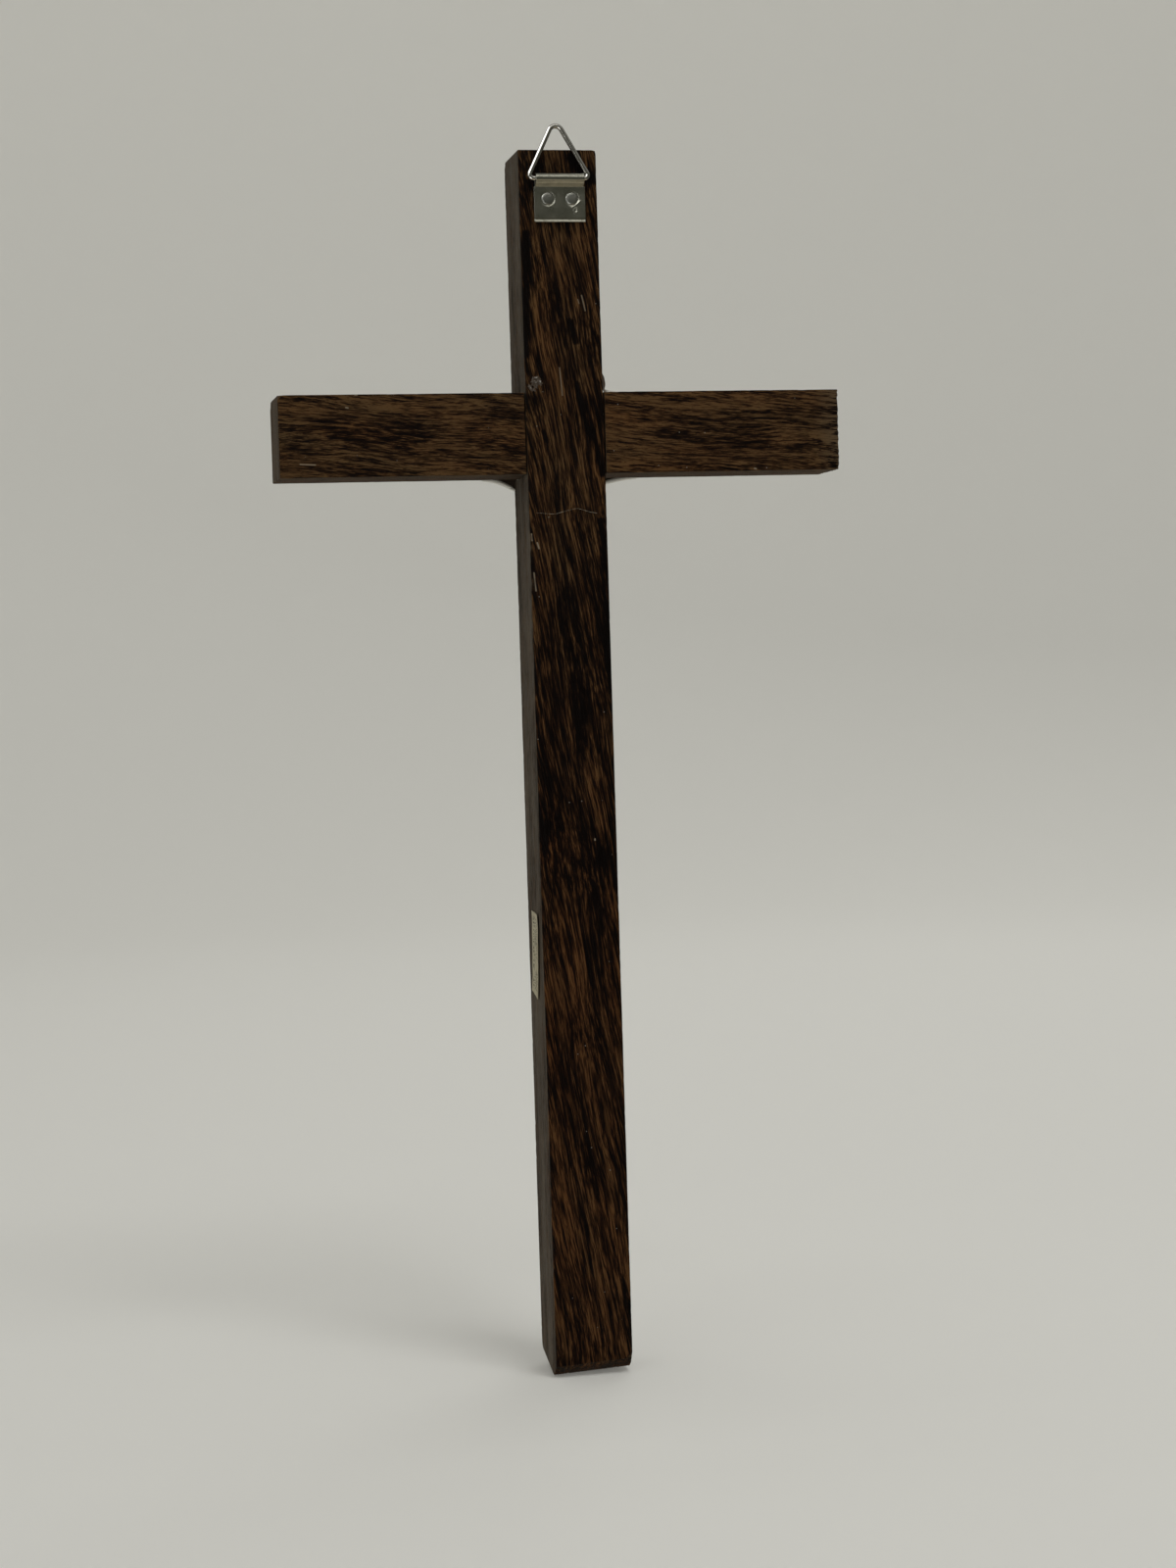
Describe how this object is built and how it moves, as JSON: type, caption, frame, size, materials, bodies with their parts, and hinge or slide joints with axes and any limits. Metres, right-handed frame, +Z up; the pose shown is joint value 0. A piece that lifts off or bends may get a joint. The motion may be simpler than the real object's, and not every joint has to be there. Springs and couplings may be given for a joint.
{
  "type": "wall cross",
  "caption": "Plain hardwood wall cross of two half-lapped sticks, with a nailed strap hanger, a swinging wire hanging ring and a small blank paper label.",
  "frame": {"origin": "the hanging point: on the cross's middle plane, under the wire at the ring's apex, with the ring leaning on the wood's top edge", "axes": "+Z up along the upright, -Y out of the plain front toward the viewer, +Y toward the wall and the hanger, X along the crossbeam"},
  "size_m": [0.1434, 0.0219, 0.3157],
  "materials": {
    "upright_wood": "matt, open-grained dark hardwood",
    "crossbeam_wood": "matt, open-grained dark hardwood",
    "hanger_plate_steel": "nickel-plated sheet, slightly dulled",
    "nail_steel": "hammered flat, slightly dulled",
    "ring_wire": "bright plated wire",
    "label_paper": "matt cream paper"
  },
  "bodies": {
    "cross": {"upright": "upright_wood", "crossbeam": "crossbeam_wood", "hanger_plate": "hanger_plate_steel", "nail_left": "nail_steel", "nail_right": "nail_steel", "paper_label": "label_paper"},
    "ring": {"hanger_ring": "ring_wire"}
  },
  "joints": [
    {"name": "ring_swing", "type": "hinge", "parent": "cross", "child": "ring", "pos_m": [0, 0.0011, -0.01253], "axis": [-1, 0, 0], "range_deg": [0, 175]}
  ]
}
